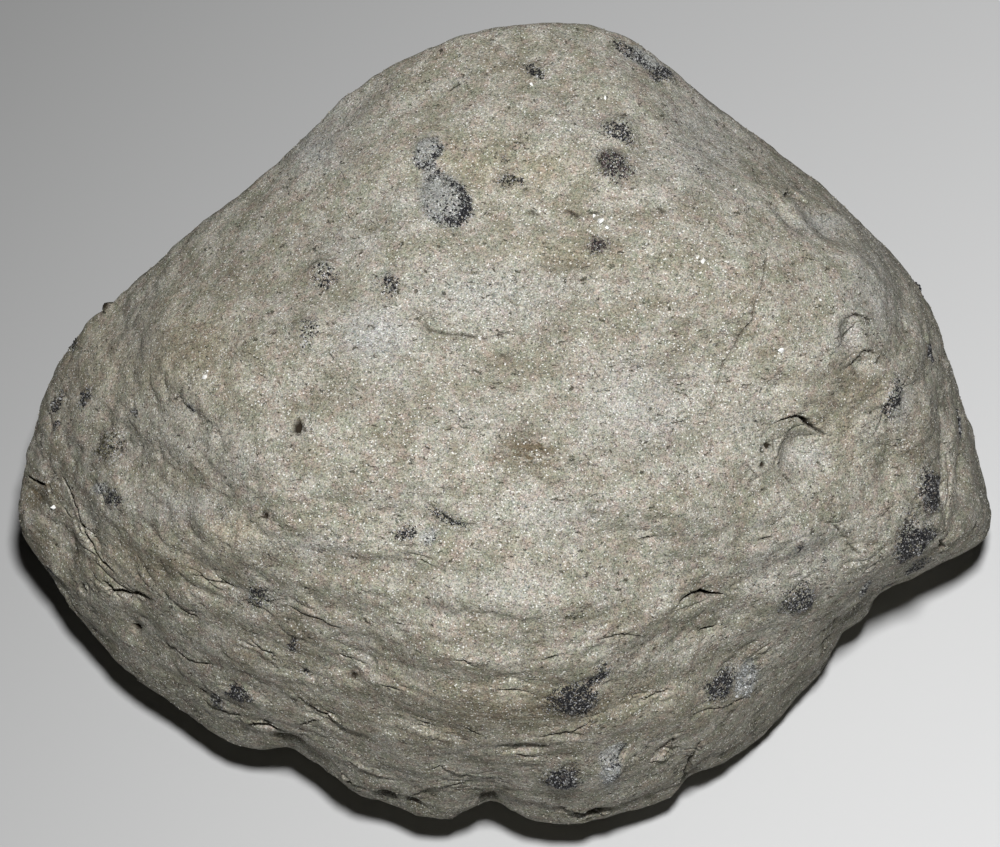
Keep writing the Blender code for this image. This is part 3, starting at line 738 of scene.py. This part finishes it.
# painted shade on the steep sides, darker low down and lighter where they turn under
shadedFlank = np.clip(1.2 - normals[:, 2] * 1.7, 0, 1) * np.clip(1.45 - points[:, 2] / 22, 0.35, 1.1)
shadedFlank *= np.clip(0.35 + normals[:, 2] * 2.5, 0.35, 1)
for name, values in (("creviceShade", creviceShade), ("dark", dark), ("ash", ash), ("brown", brown), ("pale", pale),
                     ("warm", warm), ("shadedFlank", shadedFlank)):
    setAttribute(body, name, values)

underneath = normals[:, 2] < froth["underside"]
fewer = int(froth["undersideThinning"] * underneath.sum())
thinned(body, underneath, len(body.data.polygons) - fewer)
thinned(body, np.ones(len(body.data.vertices), bool), froth["mostFaces"])
body.vertex_groups.clear()
pickOnly(body)
bpy.ops.object.shade_smooth()
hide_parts("pumice_stone")
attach(body, "root")
print("body finished:", len(body.data.polygons), "faces")


# the dark tones for the flanks, pits, cracks and crevices are painted shade, and the light ones for grains
# and glass that catch the light are painted glints
frothTones = {
    "darkFroth": (0.222, 0.208, 0.160, 1), "paleFroth": (0.346, 0.330, 0.284, 1),
    "pinkish": (0.295, 0.242, 0.205, 1), "greenish": (0.216, 0.232, 0.174, 1),
    "warmed": (1.06, 1.0, 0.84, 1), "brownStain": (0.104, 0.082, 0.052, 1),
    "paleStain": (0.365, 0.365, 0.352, 1), "streak": (0.136, 0.120, 0.082, 1),
    "flankShade": (0.085, 0.085, 0.060, 1), "pitShade": (0.040, 0.037, 0.024, 1),
    "crack": (0.018, 0.015, 0.010, 1), "ash": (0.275, 0.280, 0.268, 1),
    "paintedGlint": (0.74, 0.74, 0.71, 1), "speck": (0.045, 0.041, 0.032, 1),
    "glass": (0.013, 0.013, 0.015, 1), "glassPaintedGlint": (0.45, 0.46, 0.48, 1),
    "creviceShade": (0.020, 0.015, 0.009, 1),
}


def frothFinish():
    finish = Finish("froth", Roughness=0.95, Specular_IOR_Level=0.2)
    place = finish.millimetres()
    warp = finish.node("TexNoise", {}, {"Vector": place, "Scale": 0.35, "Detail": 2.0}, "Color")
    warp = finish.node("VectorMath", {"operation": "MULTIPLY_ADD"}, {0: warp, 1: (1.6, 1.6, 1.6), 2: place})
    grain = finish.noise(place, 0.14, 2.0, 0.6)
    coarse = finish.noise(place, 0.55, 3.0, 0.6)
    mottle = finish.noise(warp, 3.2, 4.0, 0.65)
    hue = finish.noise(place, 1.3, 3.0, 0.6)
    streak = finish.noise(finish.layered(warp, 3.0, 0.5), 1.0, 3.0, 0.6)
    dash = finish.noise(finish.layered(warp, 1.0, 0.34), 1.0, 3.0, 0.6)
    parting = finish.noise(finish.layered(warp, 3.2, 1.0), 1.0, 3.0, 0.55)
    patch = finish.noise(place, 2.6, 2.0, 0.5)
    # grains of an eighth of a millimetre, each with its own three random numbers
    cells = finish.node("TexVoronoi", {}, {"Vector": place, "Scale": 1 / 0.125}, "Color")
    red = finish.node("SeparateColor", {}, {"Color": cells}, 0)
    green = finish.node("SeparateColor", {}, {"Color": cells}, 1)
    blue = finish.node("SeparateColor", {}, {"Color": cells}, 2)
    specks = finish.node("TexVoronoi", {}, {"Vector": place, "Scale": 1 / 1.3}, "Distance")
    creviceShade = finish.attribute("creviceShade")
    dark = finish.attribute("dark")
    ash = finish.attribute("ash")
    shadedFlank = finish.attribute("shadedFlank")

    # thin broken cracks along the layers, most of them on the flanks
    crack = finish.ramp((parting - 0.5).size(), 0.016, 0.003) * finish.ramp(patch + shadedFlank * 0.10, 0.53, 0.62)
    crack = crack * (0.25 + shadedFlank * 0.75)
    # short dark dashes and pits
    pits = finish.ramp(dash + shadedFlank * 0.035 + (patch - 0.5) * 0.16, 0.64, 0.70)

    # mottled froth with its stains, then painted shade on the steep flanks, in the pits and in the cracks
    colour = finish.mix(finish.ramp(mottle, 0.36, 0.64), frothTones["darkFroth"], frothTones["paleFroth"])
    colour = finish.mix(finish.ramp(hue, 0.52, 0.64) * 0.65, colour, frothTones["pinkish"])
    colour = finish.mix(finish.ramp(hue, 0.48, 0.36) * 0.5, colour, frothTones["greenish"])
    colour = finish.mix(finish.attribute("warm"), colour, frothTones["warmed"], "MULTIPLY")
    brown = finish.attribute("brown") * 1.2 * finish.ramp(coarse + streak, 0.75, 1.15)
    colour = finish.mix(brown.clipped(), colour, frothTones["brownStain"])
    colour = finish.mix((finish.attribute("pale") * 0.75).clipped(), colour, frothTones["paleStain"])
    colour = finish.mix(finish.ramp(streak, 0.58, 0.72) * 0.5, colour, frothTones["streak"])
    # painted shade on the steep sides, darker low down
    colour = finish.mix(shadedFlank.clipped(), colour, frothTones["flankShade"])
    # painted shade in the dark dashes and pits
    colour = finish.mix(pits * 0.8, colour, frothTones["pitShade"])
    # painted shade inside the thin cracks
    colour = finish.mix(crack * 0.9, colour, frothTones["crack"])
    colour = finish.mix(ash * 0.75, colour, frothTones["ash"])
    # every grain has its own tone, and a few get a painted glint
    shade = 1.0 + (grain - 0.5) * 1.9 + (coarse - 0.5) * 1.0 + (red - 0.5) * 0.85
    tinted = finish.node("CombineColor", {}, {0: shade + (green - 0.5) * 0.14, 1: shade,
                                              2: shade + (blue - 0.5) * 0.18})
    colour = finish.mix(1.0, colour, tinted, "MULTIPLY")
    # painted glints: a few grains made nearly white
    colour = finish.mix(red.above(0.970) * 0.70, colour, frothTones["paintedGlint"])
    colour = finish.mix(finish.ramp(specks, 0.11, 0.06) * 0.7, colour, frothTones["speck"])
    # black glass in the crystals, and shadow in the crevices
    cloud = finish.ramp(dark * 1.05 + ash * 0.22 + (grain - 0.5) * 3.6 + (coarse - 0.5) * 2.4, 0.60, 0.80)
    colour = finish.mix(cloud * (dark + ash).above(0.03), colour, frothTones["glass"])
    # painted glints on the crystals' glass
    colour = finish.mix((dark + ash).above(0.2) * green.above(0.95) * 0.7, colour, frothTones["glassPaintedGlint"])
    colour = finish.mix((creviceShade * 1.2).clipped(), colour, frothTones["creviceShade"])
    finish.feed("Base Color", colour)
    height = grain * 0.05 + coarse * 0.12 + streak * 0.10 - pits * 0.12 - crack * 0.20
    finish.feed("Normal", finish.node("Bump", {}, {"Strength": 0.9, "Distance": 0.001, "Height": height}))
    return finish.material


body.data.materials.append(frothFinish())


strew = {
    "seed": 7,
    "clearOfFloor": 0.6,      # no grain lies lower than this
}
rng = np.random.default_rng(strew["seed"])


def modelShard(name):
    # a broken block: a cube with two corners and an edge cut away
    bpy.ops.object.select_all(action="DESELECT")
    bpy.ops.mesh.primitive_cube_add(size=2)
    shard = bpy.context.object
    shard.name = name
    bpy.ops.object.mode_set(mode="EDIT")
    cuts = [((0.5, 0.5, 0.6), (1, 0.7, 0.9)), ((-0.6, -0.4, 0.5), (-0.8, -1, 0.6)),
            ((0.1, -0.7, -0.5), (0.2, -1, -1))]
    for spot, aim in cuts:
        bpy.ops.mesh.select_all(action="SELECT")
        bpy.ops.mesh.bisect(plane_co=spot, plane_no=aim, use_fill=True, clear_outer=True)
    bpy.ops.mesh.select_all(action="SELECT")
    bpy.ops.mesh.quads_convert_to_tris()
    done()
    return takenFrom(shard)


def takenFrom(model):
    # the model's points and faces, and the object itself goes
    points = np.array([v.co[:] for v in model.data.vertices])
    faces = np.array([p.vertices[:] for p in model.data.polygons])
    bpy.data.objects.remove(model)
    return points, faces


def modelCrumb(name):
    # a dented ball
    bpy.ops.object.select_all(action="DESELECT")
    bpy.ops.mesh.primitive_ico_sphere_add(subdivisions=1, radius=1)
    crumb = bpy.context.object
    crumb.name = name
    bpy.ops.object.mode_set(mode="EDIT")
    bpy.ops.mesh.select_all(action="SELECT")
    bpy.ops.transform.vertex_random(offset=0.35, seed=3)
    done()
    return takenFrom(crumb)


def randomTurns(count):
    # rotation matrices from random quaternions
    q = rng.normal(size=(count, 4))
    q /= np.linalg.norm(q, axis=1)[:, None]
    w, x, y, z = q.T
    return np.stack([
        np.stack([1 - 2 * (y * y + z * z), 2 * (x * y - z * w), 2 * (x * z + y * w)], -1),
        np.stack([2 * (x * y + z * w), 1 - 2 * (x * x + z * z), 2 * (y * z - x * w)], -1),
        np.stack([2 * (x * z - y * w), 2 * (y * z + x * w), 1 - 2 * (x * x + y * y)], -1),
    ], 1)


def strewn(name, model, centres, sizes, tones=None):
    # one mesh of many copies of a small model
    points, faces = model
    count = len(centres)
    turns = randomTurns(count)
    shaped = points[None] * sizes[:, None, :]
    placed = np.einsum("nij,nkj->nki", turns, shaped) + centres[:, None, :]
    allFaces = faces[None] + (np.arange(count) * len(points))[:, None, None]
    mesh = bpy.data.meshes.new(name)
    mesh.from_pydata((placed.reshape(-1, 3) / 1000).tolist(), [], allFaces.reshape(-1, 3).tolist())
    obj = bpy.data.objects.new(name, mesh)
    bpy.context.scene.collection.objects.link(obj)
    if tones is not None:
        attribute = mesh.attributes.new("tone", "FLOAT_COLOR", "POINT")
        rows = np.repeat(np.column_stack([tones, np.ones(count)]), len(points), axis=0)
        attribute.data.foreach_set("color", rows.astype(np.float32).ravel())
    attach(obj, "root")
    print(name, len(allFaces.reshape(-1, 3)), "faces")
    return obj


surface = surfaceOf(body)

shards = {
    "perSquareMm": 15,
    "size": (0.06, 0.15),     # half length of a shard
    "lift": 0.07,
    "farthest": 2.5,          # a shard that would land farther from the crystal's plane is left out
    "paintedGlintShare": 0.07,        # share of shards given a painted glint
    "paintedGlint": (0.4, 0.7),    # how light their painted glint is
}


def crystalShards():
    centres, sizes, tones = [], [], []
    for place, normal, across, up, wide, high, kind, strength in places:
        glass, ashen, bareMiddle, bareRim = crystalKinds[kind]
        count = int(math.pi * wide * high * shards["perSquareMm"] * (0.4 + strength * 0.6)) + 2
        for _ in range(count):
            reach = math.sqrt(rng.uniform()) * rng.uniform(0.75, 1.25)
            turn = rng.uniform(0, 2 * math.pi)
            reach *= raggedEdge(turn, place, max(wide, high))
            spot = place + across * (wide * reach * math.cos(turn)) + up * (high * reach * math.sin(turn))
            onStone, out, _, away = surface.find_nearest(spot)
            if away > shards["farthest"]:
                continue
            bare = bareMiddle + (bareRim - bareMiddle) * min(1, reach) ** 2
            if kind in ("blue", "pale"):
                bare *= min(1.1, max(0.15, 0.6 + 0.5 * (math.cos(turn) - math.sin(turn)) / 1.4))
            base = rng.uniform(*shards["size"])
            size = np.array([base, base * rng.uniform(0.5, 0.9), base * rng.uniform(0.35, 0.7)])
            size *= min(1, 0.55 + min(wide, high) / 2)
            tone = np.array(glass if rng.uniform() < bare else ashen) * rng.uniform(0.6, 1.35)
            # a few shards get a painted glint: a light grey tone, at half size
            if rng.uniform() < shards["paintedGlintShare"]:
                tone = np.full(3, rng.uniform(*shards["paintedGlint"]))
                size *= 0.5
            centres.append(onStone + out * (shards["lift"] * rng.uniform(-1.2, 1.0)))
            sizes.append(size)
            tones.append(tone)
    return np.array(centres), np.array(sizes), np.clip(np.array(tones), 0, 1)


def scattered(count):
    # places spread evenly over the whole stone, with their normals
    points = pointsOf(body)
    corners = np.empty(len(body.data.polygons) * 3, np.int32)
    body.data.polygons.foreach_get("vertices", corners)
    corners = corners.reshape(-1, 3)
    a, b, c = points[corners[:, 0]], points[corners[:, 1]], points[corners[:, 2]]
    cross = np.cross(b - a, c - a)
    area = np.linalg.norm(cross, axis=1) + 1e-12
    chosen = rng.choice(len(area), count, p=area / area.sum())
    u, v = rng.uniform(size=(2, count))
    over = u + v > 1
    u[over], v[over] = 1 - u[over], 1 - v[over]
    spots = a[chosen] + u[:, None] * (b - a)[chosen] + v[:, None] * (c - a)[chosen]
    return spots, cross[chosen] / area[chosen][:, None]


def glassFinish():
    finish = Finish("crystal_glass", Roughness=0.28, Specular_IOR_Level=0.6)
    place = finish.millimetres()
    tone = finish.node("Attribute", {"attribute_name": "tone"}, {}, "Color")
    dust = finish.noise(place, 0.15, 2.0, 0.6)
    finish.feed("Base Color", finish.mix(finish.ramp(dust, 0.62, 0.70) * 0.5, tone, (0.24, 0.23, 0.21, 1)))
    finish.feed("Roughness", 0.25 + dust * 0.35)
    return finish.material


def grainFinish(name, low, high, roughness):
    finish = Finish(name, Roughness=roughness)
    place = finish.millimetres()
    finish.feed("Base Color", finish.mix(finish.noise(place, 0.5, 2.0), low, high))
    return finish.material


crumbs = {
    "count": 9000,
    "radius": (0.05, 0.15),
    "lift": 0.02,
    "tones": ((0.16, 0.148, 0.115, 1), (0.34, 0.32, 0.275, 1)),
    "roughness": 0.9,
}
glints = {
    "count": 7000,
    "radius": (0.03, 0.06),
    "lift": 0.04,
    "tones": ((0.42, 0.42, 0.40, 1), (0.74, 0.74, 0.71, 1)),
    "roughness": 0.3,
}
chips = {
    "shape": np.array([1.0, 0.8, 0.55]) * 0.75,    # half sides, as a share of a chip's size
    "lift": 0.05,
    "tones": ((0.75, 0.75, 0.72, 1), (0.95, 0.95, 0.93, 1)),
    "roughness": 0.4,
}


def strewGrains(name, grains, material):
    spots, out = scattered(grains["count"])
    keep = spots[:, 2] > strew["clearOfFloor"]
    spots, out = spots[keep], out[keep]
    sizes = rng.uniform(*grains["radius"], size=(len(spots), 1)) * rng.uniform(0.6, 1.0, size=(len(spots), 3))
    strewnGrains = strewn(name, crumbModel, spots + out * grains["lift"], sizes)
    strewnGrains.data.materials.append(grainFinish(material, *grains["tones"], grains["roughness"]))


print("shards and grains")
shardModel = modelShard("shard")
crumbModel = modelCrumb("crumb")
centres, sizes, tones = crystalShards()
darkCrystals = strewn("dark_crystals", shardModel, centres, sizes, tones)
darkCrystals.data.materials.append(glassFinish())

chipCentres, chipSizes = [], []
for right, down, size in whiteChips:
    place, normal = seenAt(surface, right, down)
    chipCentres.append(place + normal * chips["lift"])
    chipSizes.append(chips["shape"] * size * sight["mmPerPixel"])
whiteStone = strewn("white_chips", shardModel, np.array(chipCentres), np.array(chipSizes))
whiteStone.data.materials.append(grainFinish("chip_white", *chips["tones"], chips["roughness"]))

strewGrains("froth_crumbs", crumbs, "crumb_froth")
strewGrains("glass_glints", glints, "glint_glass")


studio = {
    "floorSide": 3,
    "floorPaintedShade": (0.265, 0.266, 0.265, 1),     # painted shade of the light's falloff, at the upper left
    "floorPaintedLight": (0.61, 0.613, 0.615, 1),   # painted light, at the lower right
    "paintedLightWay": (1.0, -0.5, 0.0),             # the painted light grows this way
    "paintedLightSpan": (-0.10, 0.085),              # the painted falloff runs from here to here, in metres
    "keyRise": 71,            # degrees over the floor
    "keySide": 2,             # degrees to the right
    "keyDistance": 0.5,
    "keySize": 0.045,
    "keyPower": 3.45,
    "fill": 0.004,            # strength of the even light from all round
}

print("studio")
bpy.ops.object.select_all(action="DESELECT")
bpy.ops.mesh.primitive_plane_add(size=studio["floorSide"])
floor = bpy.context.object
floor.name = "floor"
# the floor's colour is a painted light falloff, darker at the upper left and lighter at the lower right
floorFinish = Finish("floor_painted_falloff", Roughness=0.75)
floorPlace = floorFinish.node("TexCoord", {}, {}, "Object")
along = floorFinish.node("VectorMath", {"operation": "DOT_PRODUCT"},
                         {0: floorPlace, 1: studio["paintedLightWay"]}, "Value")
share = floorFinish.node("MapRange", {}, {"Value": along, "From Min": studio["paintedLightSpan"][0],
                                          "From Max": studio["paintedLightSpan"][1]})
floorFinish.feed("Base Color", floorFinish.mix(share, studio["floorPaintedShade"], studio["floorPaintedLight"]))
floor.data.materials.append(floorFinish.material)

world = bpy.data.worlds.new("studio")
bpy.context.scene.world = world
world.use_nodes = True
world.node_tree.nodes["Background"].inputs["Color"].default_value = (1, 1, 1, 1)
world.node_tree.nodes["Background"].inputs["Strength"].default_value = studio["fill"]

rise, side = math.radians(studio["keyRise"]), math.radians(studio["keySide"])
keyWay = Vector((math.sin(side), -math.cos(rise), math.sin(rise))).normalized()
bpy.ops.object.light_add(type="AREA", location=sight["target"] + keyWay * studio["keyDistance"])
key = bpy.context.object
key.name = "key_light"
key.data.shape = "DISK"
key.data.size = studio["keySize"]
key.data.energy = studio["keyPower"]
key.rotation_euler = keyWay.to_track_quat("Z", "Y").to_euler()

bpy.ops.object.camera_add(location=sight["target"] + towardsEye * sight["distance"],
                          rotation=(math.pi / 2 - sight["rise"], 0, 0))
camera = bpy.context.object
camera.data.sensor_width = sight["sensorWide"]
pictureSpan = sight["pictureWide"] * sight["mmPerPixel"] / 1000
camera.data.lens = sight["sensorWide"] * sight["distance"] / pictureSpan
camera.data.clip_start = 0.01
bpy.context.scene.camera = camera
bpy.context.scene.view_settings.view_transform = "Standard"

bpy.context.view_layer.update()
print("done")
